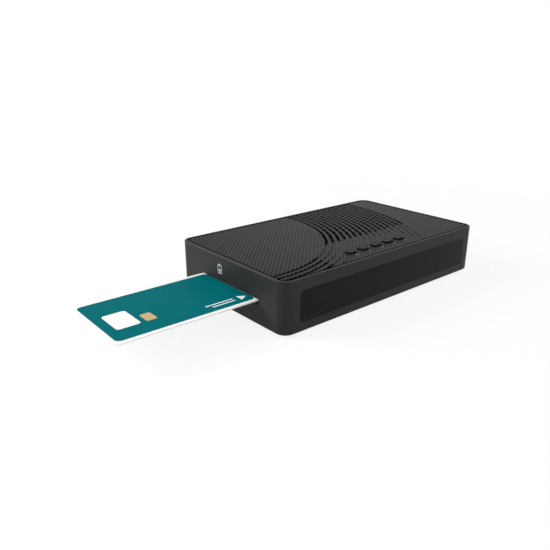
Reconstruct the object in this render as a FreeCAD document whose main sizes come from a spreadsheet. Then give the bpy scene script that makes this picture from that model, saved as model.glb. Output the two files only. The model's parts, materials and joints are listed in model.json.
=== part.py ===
import FreeCAD, Part
import math
import os
import re
import Sketcher

# Small satellite receiver with a smart card in its left side.
# Origin: centre of the case on the table, under the feet. X to the right, Y to the back, Z up.
# The case is a moulded wall frame, with a ribbed plate let into its rim and a cover from below.

Vector = FreeCAD.Vector
UP = Vector(0, 0, 1)

# Driving dimensions in millimetres. Every sketch, pad, block and rod below is bound to these cells.
SIZES = {
    # case
    "case_width": 170.0,
    "case_depth": 100.0,
    "case_height": 30.6,
    "corner_radius": 7.0,
    "side_wall": 1.6,
    "front_wall": 3.0,
    "rim_round": 0.6,
    "base_round": 0.8,
    "seat_width": 2.2,
    "seat_height": 2.0,
    "boss_radius": 4.6,
    "boss_side_inset": 6.0,
    "boss_end_inset": 7.0,
    "case_pilot_radius": 1.4,
    "case_pilot_depth": 12.0,
    # top plate
    "plate_thickness": 1.8,
    "rim_gap": 0.7,
    "plate_round": 0.3,
    "ring_centre_left": 8.7,
    "ring_centre_back": 10.4,
    "ring_first_radius": 77.8,
    "ring_pitch": 4.05,
    "ring_count": 16,
    "slot_width": 1.9,
    "vent_front": 33.1,
    "vent_back_land": 1.2,
    "groove_width": 0.5,
    "groove_depth": 0.5,
    "finger_length": 40.6,
    "finger_width": 1.6,
    "key_field_left": 31.5,
    "key_field_right": 32.0,
    "key_field_back": 24.0,
    "cross_rib_width": 1.2,
    "cross_rib_height": 1.6,
    # keys
    "key_width": 6.8,
    "key_depth": 5.2,
    "key_corner": 2.1,
    "key_pitch": 11.0,
    "key_row_front": 13.9,
    "key_proud": 0.9,
    "key_round": 0.4,
    "key_gap": 0.3,
    "key_flange": 0.8,
    "key_flange_thickness": 1.0,
    "key_flange_gap": 0.2,
    "key_stem_radius": 1.5,
    "key_stem_length": 0.6,
    "key_travel": 0.5,
    "plunger_radius": 1.6,
    "plunger_length": 1.9,
    "plunger_gap": 0.1,
    "switch_side": 6.0,
    "switch_height": 2.8,
    "plunger_proud": 0.8,
    "key_board_end": 13.0,
    "key_board_depth": 11.0,
    "key_post_radius": 2.6,
    "key_pilot_radius": 0.9,
    "key_post_end": 4.0,
    "key_screw_radius": 0.85,
    "key_screw_length": 4.4,
    "key_screw_head_radius": 1.8,
    "key_screw_head_height": 0.6,
    # window and card slot
    "window_side_inset": 11.2,
    "window_low": 5.6,
    "window_high": 24.0,
    "window_corner": 2.9,
    "window_recess": 1.4,
    "window_thickness": 1.3,
    "window_gap": 0.1,
    "display_opening_width": 116.0,
    "display_opening_low": 9.6,
    "display_opening_high": 20.0,
    "card_slot_length": 56.2,
    "card_slot_height": 1.8,
    "card_middle": 1.3,
    "card_level": 14.65,
    "slot_lip_drop": 1.9,
    "slot_lip_depth": 1.1,
    # cover, feet and screws
    "floor_thickness": 1.8,
    "fit_gap": 0.2,
    "foot_radius": 5.5,
    "foot_drop": 1.2,
    "foot_recess": 0.8,
    "foot_gap": 0.1,
    "foot_chamfer": 0.4,
    "foot_side_inset": 21.0,
    "foot_end_inset": 14.0,
    "floor_slot_length": 26.0,
    "floor_slot_width": 2.4,
    "floor_slot_pitch": 6.0,
    "floor_slot_count": 9,
    "case_screw_radius": 1.35,
    "case_screw_length": 10.0,
    "case_screw_head_radius": 2.7,
    "case_screw_head_height": 0.9,
    "counterbore_depth": 0.9,
    "screw_hole_gap": 0.2,
    # boards
    "board_thickness": 1.6,
    "post_height": 4.0,
    "post_radius": 3.0,
    "post_side_inset": 14.5,
    "post_reader_gap": 0.3,
    "board_pilot_radius": 1.25,
    "board_screw_radius": 1.2,
    "board_screw_head_radius": 2.7,
    "board_screw_head_height": 1.7,
    "board_gap": 0.4,
    # rear panel and what comes through it
    "panel_thickness": 1.2,
    "rear_opening_inset": 13.0,
    "rear_sill": 1.5,
    "rear_lintel": 3.0,
    "socket_gap": 0.2,
    "lnb_place": 54.0,
    "lnb_level": 8.6,
    "lnb_radius": 4.7,
    "lnb_shoulder": 0.3,
    "lnb_reach": 11.0,
    "lnb_bore_radius": 3.2,
    "lnb_bore_depth": 7.0,
    "lnb_contact_radius": 0.5,
    "lnb_flange_radius": 6.0,
    "lnb_flange_length": 2.0,
    "nut_across": 12.7,
    "nut_thickness": 2.3,
    "nut_gap": 0.1,
    "tuner_width": 26.0,
    "tuner_depth": 34.0,
    "tuner_height": 13.0,
    "can_round": 1.0,
    "ethernet_place": 31.0,
    "ethernet_width": 16.2,
    "ethernet_height": 13.6,
    "ethernet_depth": 21.0,
    "plug_bay_width": 11.9,
    "plug_bay_height": 7.2,
    "plug_bay_level": 4.2,
    "plug_bay_depth": 14.0,
    "latch_width": 6.0,
    "latch_drop": 2.4,
    "wire_pitch": 1.02,
    "wire_gauge": 0.25,
    "wire_inset": 4.7,
    "hdmi_place": 9.0,
    "hdmi_width": 15.2,
    "hdmi_height": 6.2,
    "hdmi_depth": 11.5,
    "hdmi_wall": 0.6,
    "hdmi_tongue_width": 10.8,
    "hdmi_tongue_thickness": 1.2,
    "usb_place": -12.0,
    "usb_width": 14.4,
    "usb_height": 7.0,
    "usb_depth": 14.0,
    "usb_wall": 0.8,
    "usb_tongue_width": 11.0,
    "usb_tongue_thickness": 1.8,
    "audio_place": -31.0,
    "audio_body_width": 10.0,
    "audio_body_height": 11.0,
    "audio_body_depth": 11.0,
    "audio_shell_radius": 4.15,
    "audio_shell_length": 8.0,
    "audio_bore_radius": 1.6,
    "audio_bore_depth": 9.0,
    "av_place": -47.0,
    "av_body_width": 8.0,
    "av_body_height": 8.0,
    "av_body_depth": 14.0,
    "av_nose_radius": 3.0,
    "av_nose_length": 1.5,
    "av_bore_radius": 1.8,
    "av_bore_depth": 14.0,
    "dc_place": -62.0,
    "dc_width": 9.0,
    "dc_height": 11.0,
    "dc_depth": 14.0,
    "dc_bore_radius": 3.2,
    "dc_bore_depth": 9.5,
    "dc_pin_radius": 1.05,
    "dc_pin_length": 9.0,
    # smart card and its reader
    "card_length": 85.6,
    "card_width": 53.98,
    "card_thickness": 0.76,
    "card_corner": 3.18,
    "card_entry": 3.0,
    "card_travel": 50.0,
    "chip_length": 12.9,
    "chip_width": 11.7,
    "chip_thickness": 0.2,
    "chip_from_edge": 15.1,
    "chip_offset": 3.1,
    "chip_gap": 0.05,
    "chip_corner": 1.4,
    "card_gap": 0.3,
    "reader_lead": 5.0,
    "reader_stop_thickness": 2.4,
    "reader_rail": 2.6,
    "reader_plate": 2.0,
    "reader_lip": 1.0,
    "reader_lip_reach": 3.0,
    "reader_leg": 3.2,
    "contact_recess": 1.0,
    "contact_well_margin": 1.2,
    "contact_pitch": 2.54,
    "contact_width": 1.4,
    "contact_length": 4.6,
    "contact_gauge": 0.25,
    "contact_clear": 0.12,
    # parts on the boards
    "processor_place": 20.0,
    "processor_side": 21.0,
    "processor_height": 2.0,
    "sink_side": 32.0,
    "sink_base": 2.0,
    "sink_height": 8.0,
    "sink_fin": 1.2,
    "sink_fin_count": 8,
    "memory_place": 46.0,
    "memory_width": 9.0,
    "memory_depth": 13.0,
    "memory_height": 1.2,
    "memory_pitch": 16.0,
    "memory_gap": 1.2,
    "flash_place": 20.0,
    "flash_forward": 27.0,
    "flash_width": 18.0,
    "flash_depth": 12.0,
    "capacitor_radius": 3.2,
    "capacitor_height": 8.0,
    "capacitor_pitch": 9.0,
    "capacitor_count": 4,
    "capacitor_first": -8.0,
    "capacitor_row": 24.0,
    "inductor_side": 7.0,
    "inductor_height": 3.4,
    "inductor_row": 14.0,
    "inductor_gap": 3.2,
    "inductor_count": 2,
    "front_board_back": 9.4,
    "front_board_width": 124.0,
    "front_board_height": 14.0,
    "display_width": 42.0,
    "display_height": 10.0,
    "lens_gap": 0.3,
    "ir_place": 40.0,
    "ir_width": 6.0,
    "ir_height": 7.0,
    "ir_dome_radius": 2.2,
    "led_place": -40.0,
    "led_radius": 1.5,
    "header_width": 20.0,
    "header_depth": 2.5,
    "header_height": 5.0,
}

doc = FreeCAD.newDocument("receiver")
sheet = doc.addObject("Spreadsheet::Sheet", "Sizes")
for row, (alias, size) in enumerate(SIZES.items(), start=1):
    sheet.set(f"A{row}", alias)
    sheet.set(f"B{row}", str(size))
    sheet.setAlias(f"B{row}", alias)
doc.recompute()
gauge = doc.addObject("App::FeaturePython", "Gauge")
nodes = []


def bound(text):
    """The same formula, reading its names from the sheet."""
    return re.sub(r"[a-z_]+", lambda word: "Sizes." + word[0] if word[0] in SIZES else word[0], str(text))


def number(text):
    """What a formula is worth now."""
    return float(gauge.evalExpression(bound(text)))


def label(thing, name):
    """Make an object one of the pieces that are written to disk."""
    thing.Label = name
    nodes.append(thing)
    return thing


# Levels and planes that several pieces share
CASE_LEFT = "(-case_width / 2)"
CASE_RIGHT = "(case_width / 2)"
CASE_FRONT = "(-case_depth / 2)"
CASE_BACK = "(case_depth / 2)"
CASE_TOP = "(foot_drop + case_height)"
SEAT_TOP = "(foot_drop + case_height - plate_thickness)"
FLOOR_TOP = "(foot_drop + floor_thickness)"
BOARD_LOW = "(foot_drop + floor_thickness + post_height)"
BOARD_TOP = "(foot_drop + floor_thickness + post_height + board_thickness)"
CARD_LEVEL = "(foot_drop + card_level)"
PANEL_FACE = "(case_depth / 2 - side_wall)"
PANEL_BACK = "(case_depth / 2 - side_wall - panel_thickness)"
RING_X = "(ring_centre_left - case_width / 2)"
RING_Y = "(case_depth / 2 - ring_centre_back)"
PLATE_INSET = "(side_wall + rim_gap)"
KEY_Y = "(key_row_front - case_depth / 2)"
KEY_FLANGE_TOP = f"({SEAT_TOP} - key_flange_gap)"
KEY_STEM_END = f"({KEY_FLANGE_TOP} - key_flange_thickness - key_stem_length)"
SWITCH_TOP = f"({KEY_STEM_END} - plunger_proud)"
KEY_BOARD_TOP = f"({SWITCH_TOP} - switch_height)"
BOSS_X = "(case_width / 2 - boss_side_inset)"
BOSS_Y = "(case_depth / 2 - boss_end_inset)"
CARD_Y = "(-card_middle)"
CARD_LOW = f"({CARD_LEVEL} - card_thickness / 2)"
CARD_HIGH = f"({CARD_LEVEL} + card_thickness / 2)"
CARD_EDGE = f"({CASE_LEFT} + card_entry)"
READER_HALF = "(card_width / 2 + card_gap + reader_rail)"
BOARD_HALF = "(case_width / 2 - boss_side_inset - boss_radius - board_gap)"
TUNER_BACK = f"({PANEL_BACK} - lnb_flange_length)"
FRONT_BOARD_Y = f"({CASE_FRONT} + front_board_back)"
WINDOW_BACK = f"({CASE_FRONT} + window_recess)"

# A sketch with more curved outlines than this takes long to solve
RINGS_PER_SKETCH = 4
WIRES_IN_SOCKET = 8
CONTACTS_IN_ROW = 4


class Profile:
    """A closed outline or several, in a sketch on one of the body's own planes."""

    def __init__(self, body, name, plane="XY_Plane", offset="0"):
        self.body = body
        self.sketch = body.newObject("Sketcher::SketchObject", name)
        origin_plane = [item for item in body.Origin.OriginFeatures if item.Role == plane][0]
        self.sketch.AttachmentSupport = (origin_plane, [""])
        self.sketch.MapMode = "FlatFace"
        self.sketch.setExpression("AttachmentOffset.Base.z", bound(offset))
        self.shapes = []
        self.rules = []
        self.formulas = []

    def add(self, shape, helper=False):
        self.shapes.append((shape, helper))
        return len(self.shapes) - 1

    def rule(self, kind, *where):
        self.rules.append(Sketcher.Constraint(kind, *where))

    def size(self, kind, *where, value):
        self.formulas.append((len(self.rules), bound(value)))
        self.rules.append(Sketcher.Constraint(kind, *where, number(value)))

    def line(self, start, end):
        return self.add(Part.LineSegment(Vector(*start, 0), Vector(*end, 0)))

    def arc(self, centre, radius, start, end):
        return self.add(Part.ArcOfCircle(Part.Circle(Vector(*centre, 0), UP, radius), start, end))

    def circle(self, x, y, radius):
        ring = self.add(Part.Circle(Vector(number(x), number(y), 0), UP, number(radius)))
        self.size("Radius", ring, value=radius)
        self.size("DistanceX", -1, 1, ring, 3, value=x)
        self.size("DistanceY", -1, 1, ring, 3, value=y)

    def sides(self, bottom, right, top, left, low, high):
        """Hold four straight sides level or upright, each at its own distance from the origin."""
        for side in (bottom, top):
            self.rule("Horizontal", side)
        for side in (right, left):
            self.rule("Vertical", side)
        self.size("DistanceY", -1, 1, bottom, 1, value=low[1])
        self.size("DistanceX", -1, 1, right, 1, value=high[0])
        self.size("DistanceY", -1, 1, top, 1, value=high[1])
        self.size("DistanceX", -1, 1, left, 1, value=low[0])

    def rectangle(self, low, high):
        (a, b), (c, d) = [[number(text) for text in corner] for corner in (low, high)]
        corners = [(a, b), (c, b), (c, d), (a, d)]
        sides = [self.line(corners[i], corners[(i + 1) % 4]) for i in range(4)]
        for i in range(4):
            self.rule("Coincident", sides[i], 2, sides[(i + 1) % 4], 1)
        self.sides(*sides, low, high)

    def rounded(self, low, high, radius):
        """A rectangle with four equal round corners."""
        (a, b), (c, d) = [[number(text) for text in corner] for corner in (low, high)]
        r = number(radius)
        bottom = self.line((a + r, b), (c - r, b))
        right = self.line((c, b + r), (c, d - r))
        top = self.line((c - r, d), (a + r, d))
        left = self.line((a, d - r), (a, b + r))
        quarter = math.pi / 2
        corners = [
            self.arc((c - r, b + r), r, -quarter, 0),
            self.arc((c - r, d - r), r, 0, quarter),
            self.arc((a + r, d - r), r, quarter, 2 * quarter),
            self.arc((a + r, b + r), r, 2 * quarter, 3 * quarter),
        ]
        sides = [bottom, right, top, left]
        for i in range(4):
            self.rule("Tangent", sides[i], 2, corners[i], 1)
            self.rule("Tangent", corners[i], 2, sides[(i + 1) % 4], 1)
        for corner in corners[1:]:
            self.rule("Equal", corners[0], corner)
        self.size("Radius", corners[0], value=radius)
        self.sides(*sides, low, high)

    def polygon(self, points):
        spots = [(number(x), number(y)) for x, y in points]
        count = len(points)
        edges = [self.line(spots[i], spots[(i + 1) % count]) for i in range(count)]
        for i, (x, y) in enumerate(points):
            self.rule("Coincident", edges[i - 1], 2, edges[i], 1)
            self.size("DistanceX", -1, 1, edges[i], 1, value=x)
            self.size("DistanceY", -1, 1, edges[i], 1, value=y)

    def ring_centre(self):
        """The point that all curved slots and grooves turn about."""
        point = self.add(Part.Point(Vector(number(RING_X), number(RING_Y), 0)), helper=True)
        self.size("DistanceX", -1, 1, point, 1, value=RING_X)
        self.size("DistanceY", -1, 1, point, 1, value=RING_Y)
        return point

    def band(self, centre, radius, width, start, end):
        """A stretch of one ring, cut off square at two lines such as ("x", formula)."""
        edges = []
        for half in ("-", "+"):
            edge_radius = f"({radius} {half} {width} / 2)"
            angles = [band_angle(edge_radius, *stop) for stop in (start, end)]
            arc = self.arc((number(RING_X), number(RING_Y)), number(edge_radius), *angles)
            self.rule("Coincident", arc, 3, centre, 1)
            self.size("Radius", arc, value=edge_radius)
            for tip, (axis, place) in ((1, start), (2, end)):
                self.size(f"Distance{axis.upper()}", -1, 1, arc, tip, value=place)
            edges.append(arc)
        for tip in (1, 2):
            inner, outer = [self.tip_of(arc, tip) for arc in edges]
            across = self.line(inner, outer)
            self.rule("Coincident", across, 1, edges[0], tip)
            self.rule("Coincident", across, 2, edges[1], tip)

    def tip_of(self, arc, tip):
        shape = self.shapes[arc][0]
        point = shape.StartPoint if tip == 1 else shape.EndPoint
        return point.x, point.y

    def close(self):
        """Draw everything, then tie each size to its formula."""
        for shape, helper in self.shapes:
            self.sketch.addGeometry(shape, helper)
        self.sketch.addConstraint(self.rules)
        for index, formula in self.formulas:
            self.sketch.setExpression(f"Constraints[{index}]", formula)
        self.sketch.Visibility = False
        return self.sketch

    def pad(self, length, downward=False):
        return self.feature("PartDesign::Pad", length, downward)

    def pocket(self, length=None, inward=False):
        """Cut against the sketch's normal, or along it where inward is set, or both ways through all."""
        return self.feature("PartDesign::Pocket", length, inward)

    def feature(self, kind, length, reverse):
        made = self.body.newObject(kind, kind.split("::")[1] + self.sketch.Name)
        made.Profile = self.close()
        if length is None:
            made.Type = "ThroughAll"
            made.Midplane = True
        else:
            made.setExpression("Length", bound(length))
            made.Reversed = reverse
        doc.recompute()
        return made


def band_angle(radius, axis, place):
    """Where a ring meets a line: on its right for a y line, on its lower half for an x line."""
    r = number(radius)
    if axis == "y":
        return math.asin((number(place) - number(RING_Y)) / r)
    return -math.acos((number(place) - number(RING_X)) / r)


def new_body(name):
    body = doc.addObject("PartDesign::Body", name)
    body.AllowCompound = True
    return label(body, name)


def face_at(feature, axis, place):
    """Names of the flat faces that lie square to an axis at a place along it."""
    found = []
    for index, face in enumerate(feature.Shape.Faces, start=1):
        box = face.BoundBox
        low, high = getattr(box, f"{axis}Min"), getattr(box, f"{axis}Max")
        if abs(low - place) < 1e-4 and abs(high - place) < 1e-4:
            found.append(f"Face{index}")
    return found


def round_face(body, feature, axis, place, radius, kind="Fillet"):
    """Round or bevel every edge of the faces at one level."""
    dressed = body.newObject(f"PartDesign::{kind}", kind + feature.Name)
    dressed.Base = (feature, face_at(feature, axis, number(place)))
    dressed.setExpression("Radius" if kind == "Fillet" else "Size", bound(radius))
    doc.recompute()
    body.Tip = dressed
    return dressed


def pattern(body, feature, axis, length, count):
    """Repeat a feature evenly over a length along one of the body's axes."""
    made = body.newObject("PartDesign::LinearPattern", f"{feature.Name}_pattern")
    made.Originals = [feature]
    direction = [item for item in body.Origin.OriginFeatures if item.Role == axis][0]
    made.Direction = (direction, [""])
    made.setExpression("Length", bound(length))
    made.setExpression("Occurrences", bound(count))
    body.Tip = made
    doc.recompute()
    return made


def block(name, low, high):
    """A plain block from its low corner to its high corner."""
    made = doc.addObject("Part::Box", name)
    for side, axis, start, end in zip(("Length", "Width", "Height"), "xyz", low, high):
        made.setExpression(side, bound(f"({end}) - ({start})"))
        made.setExpression(f"Placement.Base.{axis}", bound(start))
    return made


def rod(name, radius, start, length, axis="z"):
    """A cylinder from its start point, along +Z or, for axis y, along +Y."""
    made = doc.addObject("Part::Cylinder", name)
    made.setExpression("Radius", bound(radius))
    made.setExpression("Height", bound(length))
    if axis == "y":
        made.Placement = FreeCAD.Placement(Vector(), FreeCAD.Rotation(Vector(1, 0, 0), -90))
    for along, place in zip("xyz", start):
        made.setExpression(f"Placement.Base.{along}", bound(place))
    return made


def join(name, pieces):
    made = doc.addObject("Part::MultiFuse", name)
    made.Shapes = pieces
    made.Refine = True
    return made


def cut(name, base, tools):
    made = doc.addObject("Part::Cut", name)
    made.Base = base
    made.Tool = tools[0] if len(tools) == 1 else join(name + "_tools", tools)
    made.Refine = True
    return made


def group(name, pieces):
    """Separate like solids that share one name."""
    made = doc.addObject("Part::Compound", name)
    made.Links = pieces
    return label(made, name)


def corners_of(x, y):
    """The four places at plus and minus x and y."""
    return [(f"{a}{x}", f"{b}{y}") for a in ("-", "") for b in ("-", "")]


def inset_outline(profile, side, front, back, radius):
    """A rounded outline held in from the case's outer faces."""
    low = (f"{CASE_LEFT} + ({side})", f"{CASE_FRONT} + ({front})")
    high = (f"{CASE_RIGHT} - ({side})", f"{CASE_BACK} - ({back})")
    profile.rounded(low, high, radius)


def make_case_body():
    body = new_body("case_body")
    outline = Profile(body, "case_outline", offset="foot_drop")
    inset_outline(outline, "0", "0", "0", "corner_radius")
    shell = outline.pad("case_height")
    shell = round_face(body, shell, "Z", CASE_TOP, "rim_round")
    round_face(body, shell, "Z", "foot_drop", "base_round", kind="Chamfer")

    recess = Profile(body, "plate_recess", offset=CASE_TOP)
    inset_outline(recess, *["side_wall"] * 3, "corner_radius - side_wall")
    recess.pocket("plate_thickness")
    throat = Profile(body, "plate_throat", offset=SEAT_TOP)
    inset_outline(throat, *["side_wall + seat_width"] * 3, "corner_radius - side_wall - seat_width")
    throat.pocket("seat_height + front_wall")
    cavity = Profile(body, "cavity", offset="foot_drop")
    inset_outline(cavity, "side_wall", "front_wall", "side_wall", "corner_radius - front_wall")
    cavity.pocket("case_height - plate_thickness - seat_height", inward=True)

    bosses = Profile(body, "screw_bosses", offset=FLOOR_TOP)
    for x, y in corners_of(BOSS_X, BOSS_Y):
        bosses.circle(x, y, "boss_radius")
    bosses.pad("case_height - floor_thickness - plate_thickness")
    pilots = Profile(body, "screw_pilots", offset=FLOOR_TOP)
    for x, y in corners_of(BOSS_X, BOSS_Y):
        pilots.circle(x, y, "case_pilot_radius")
    pilots.pocket("case_pilot_depth", inward=True)

    window = Profile(body, "window_recess_outline", "XZ_Plane", "case_depth / 2")
    window.rounded(*window_corners("0"), "window_corner")
    window.pocket("window_recess")
    opening = Profile(body, "display_opening", "XZ_Plane", "case_depth / 2")
    opening.rectangle(
        ("-display_opening_width / 2", "foot_drop + display_opening_low"),
        ("display_opening_width / 2", "foot_drop + display_opening_high"),
    )
    opening.pocket("front_wall")

    slot = Profile(body, "card_slot", "YZ_Plane", CASE_LEFT)
    slot.rectangle(
        (f"{CARD_Y} - card_slot_length / 2", f"{CARD_LEVEL} - card_slot_height / 2"),
        (f"{CARD_Y} + card_slot_length / 2", f"{CARD_LEVEL} + card_slot_height / 2"),
    )
    slot.pocket("side_wall", inward=True)
    lip = Profile(body, "slot_lip", "XZ_Plane", "card_middle - card_slot_length / 2")
    lip_top = f"{CARD_LEVEL} - card_slot_height / 2"
    lip.polygon([
        (CASE_LEFT, f"{lip_top} - slot_lip_drop"),
        (f"{CASE_LEFT} + slot_lip_depth", lip_top),
        (CASE_LEFT, lip_top),
    ])
    lip.pocket("card_slot_length", inward=True)

    rear = Profile(body, "rear_opening", "XZ_Plane", "-case_depth / 2")
    rear.rectangle(
        (f"{CASE_LEFT} + rear_opening_inset", f"{FLOOR_TOP} + rear_sill"),
        (f"{CASE_RIGHT} - rear_opening_inset", f"{SEAT_TOP} - rear_lintel"),
    )
    rear.pocket("side_wall", inward=True)


def window_corners(gap):
    """Low and high corner of the window in the front face, held in by a gap."""
    low = (f"{CASE_LEFT} + window_side_inset + {gap}", f"foot_drop + window_low + {gap}")
    high = (f"{CASE_RIGHT} - window_side_inset - {gap}", f"foot_drop + window_high - {gap}")
    return low, high


def ring_radius(index):
    return f"(ring_first_radius + {index} * ring_pitch)"


def ring_starts(radius, width):
    """Where a ring enters the plate: through its front edge, or through its left edge if it is short."""
    reach = number(f"{radius} - {width} / 2")
    if reach > number(f"{RING_Y} - {CASE_FRONT}"):
        return ("y", CASE_FRONT)
    return ("x", CASE_LEFT)


def make_top_plate():
    body = new_body("top_plate")
    outline = Profile(body, "plate_outline", offset=SEAT_TOP)
    inset_outline(outline, *[PLATE_INSET] * 3, f"corner_radius - {PLATE_INSET}")
    plate = outline.pad("plate_thickness")
    round_face(body, plate, "Z", CASE_TOP, "plate_round")

    count = int(number("ring_count"))
    vent_start = ("y", f"{CASE_FRONT} + vent_front")
    vent_end = ("y", f"{CASE_BACK} - {PLATE_INSET} - vent_back_land")
    for first in range(0, count, RINGS_PER_SKETCH):
        vents = Profile(body, f"vent_slots_{first}", offset=CASE_TOP)
        centre = vents.ring_centre()
        for index in range(first, min(first + RINGS_PER_SKETCH, count)):
            vents.band(centre, ring_radius(index), "slot_width", vent_start, vent_end)
        vents.pocket()

    fingers = Profile(body, "finger_slots", offset=CASE_TOP)
    centre = fingers.ring_centre()
    finger_end = ("x", f"{CASE_LEFT} + finger_length")
    short_rings = [i for i in range(count) if ring_starts(ring_radius(i), "finger_width")[0] == "x"]
    for index in short_rings:
        fingers.band(centre, ring_radius(index), "finger_width", ("x", CASE_LEFT), finger_end)
    fingers.pocket()

    make_grooves(body, count, short_rings, finger_end, vent_start)
    make_key_openings(body)
    make_plate_underside(body)


def make_grooves(body, count, short_rings, finger_end, vent_start):
    """Fine grooves that carry the rings on round the bare field that the keys stand in."""
    field_left = ("x", "-key_field_left")
    field_right = ("x", "key_field_right")
    field_back = ("y", f"{CASE_FRONT} + key_field_back")
    stretches = []
    for index in range(count):
        radius = number(ring_radius(index))
        across = math.sqrt(radius**2 - number(f"{RING_Y} - ({field_back[1]})") ** 2) + number(RING_X)
        over_left_corner = across < number("-key_field_left + ring_pitch * 1.1")
        if index in short_rings:
            stretches.append((index, finger_end, vent_start if over_left_corner else field_left))
        elif across < 0:
            stretches.append((index, ring_starts(ring_radius(index), "groove_width"), field_left))
        elif across < number("key_field_right"):
            stretches.append((index, field_back, vent_start))
        else:
            stretches.append((index, field_right, vent_start))
    for first in range(0, len(stretches), RINGS_PER_SKETCH):
        grooves = Profile(body, f"ring_grooves_{first}", offset=CASE_TOP)
        centre = grooves.ring_centre()
        for index, start, end in stretches[first:first + RINGS_PER_SKETCH]:
            grooves.band(centre, ring_radius(index), "groove_width", start, end)
        grooves.pocket("groove_depth")


def key_places():
    """Name and X place of each key, from left to right."""
    names = ("standby", "volume_down", "volume_up", "channel_down", "channel_up")
    return [(name, f"({i - 2} * key_pitch)") for i, name in enumerate(names)]


def key_outline(profile, x, grow, corner):
    profile.rounded(
        (f"{x} - key_width / 2 - {grow}", f"{KEY_Y} - key_depth / 2 - {grow}"),
        (f"{x} + key_width / 2 + {grow}", f"{KEY_Y} + key_depth / 2 + {grow}"),
        corner,
    )


def make_key_openings(body):
    openings = Profile(body, "key_openings", offset=CASE_TOP)
    for name, x in key_places():
        key_outline(openings, x, "key_gap", "key_corner + key_gap")
    openings.pocket()


def key_post_places():
    reach = "(2 * key_pitch + key_board_end - key_post_end)"
    return [(f"{sign}{reach}", KEY_Y) for sign in ("-", "")]


def make_plate_underside(body):
    """Cross ribs that tie the strips between the slots together, and posts for the key board."""
    ribs = Profile(body, "cross_ribs", offset=SEAT_TOP)
    left = f"{RING_X} + ring_first_radius * 0.6"
    right = f"{RING_X} + {ring_radius('(ring_count - 1)')} + slot_width"
    for share in (0.25, 0.5, 0.75):
        middle = f"({CASE_FRONT} + vent_front + {share} * (case_depth - vent_front - {PLATE_INSET}))"
        ribs.rectangle((left, f"{middle} - cross_rib_width / 2"), (right, f"{middle} + cross_rib_width / 2"))
    ribs.pad("cross_rib_height", downward=True)
    drop = f"{SEAT_TOP} - {KEY_BOARD_TOP}"
    posts = Profile(body, "key_board_posts", offset=SEAT_TOP)
    for x, y in key_post_places():
        posts.circle(x, y, "key_post_radius")
    posts.pad(drop, downward=True)
    pilots = Profile(body, "key_board_pilots", offset=KEY_BOARD_TOP)
    for x, y in key_post_places():
        pilots.circle(x, y, "key_pilot_radius")
    pilots.pocket(f"{drop} - key_flange_gap", inward=True)


def make_key(name, x):
    body = new_body(f"key_{name}")
    cap = Profile(body, f"cap_{name}", offset=KEY_FLANGE_TOP)
    key_outline(cap, x, "0", "key_corner")
    top = f"{CASE_TOP} + key_proud"
    feature = cap.pad(f"{top} - {KEY_FLANGE_TOP}")
    round_face(body, feature, "Z", top, "key_round")
    flange = Profile(body, f"flange_{name}", offset=KEY_FLANGE_TOP)
    key_outline(flange, x, "key_flange", "key_corner + key_flange")
    flange.pad("key_flange_thickness", downward=True)
    stem = Profile(body, f"stem_{name}", offset=KEY_STEM_END)
    stem.circle(x, KEY_Y, "key_stem_radius")
    stem.pad("key_stem_length")


def make_key_switches():
    switches = []
    for name, x in key_places():
        half = "switch_side / 2"
        case = block(f"switch_case_{name}", (f"{x} - {half}", f"{KEY_Y} - {half}", KEY_BOARD_TOP),
                     (f"{x} + {half}", f"{KEY_Y} + {half}", SWITCH_TOP))
        depth = "(plunger_length - plunger_proud + key_travel + plunger_gap)"
        floor = (x, KEY_Y, f"{SWITCH_TOP} - {depth}")
        well = rod(f"switch_well_{name}", "plunger_radius + plunger_gap", floor, depth)
        switches.append(cut(f"switch_{name}", case, [well]))
        plunger_low = (x, KEY_Y, f"{KEY_STEM_END} - plunger_length")
        label(rod(f"plunger_{name}", "plunger_radius", plunger_low, "plunger_length"), f"plunger_{name}")
    group("key_switches", switches)


def make_key_board():
    body = new_body("key_board")
    board = Profile(body, "key_board_outline", offset=KEY_BOARD_TOP)
    half = "2 * key_pitch + key_board_end"
    board.rectangle((f"-({half})", f"{KEY_Y} - key_board_depth / 2"),
                    (half, f"{KEY_Y} + key_board_depth / 2"))
    for x, y in key_post_places():
        board.circle(x, y, "key_pilot_radius + fit_gap")
    board.pad("board_thickness", downward=True)
    screws = []
    for i, (x, y) in enumerate(key_post_places()):
        low = f"{KEY_BOARD_TOP} - board_thickness"
        head = rod(f"key_screw_head_{i}", "key_screw_head_radius", (x, y, f"{low} - key_screw_head_height"),
                   "key_screw_head_height")
        shank = rod(f"key_screw_shank_{i}", "key_screw_radius", (x, y, low), "key_screw_length")
        screws.append(join(f"key_screw_{i}", [head, shank]))
    group("key_board_screws", screws)


def make_front_window():
    body = new_body("front_window")
    outline = Profile(body, "window_outline", "XZ_Plane", f"-{WINDOW_BACK}")
    outline.rounded(*window_corners("window_gap"), "window_corner - window_gap")
    outline.pad("window_thickness")


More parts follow.
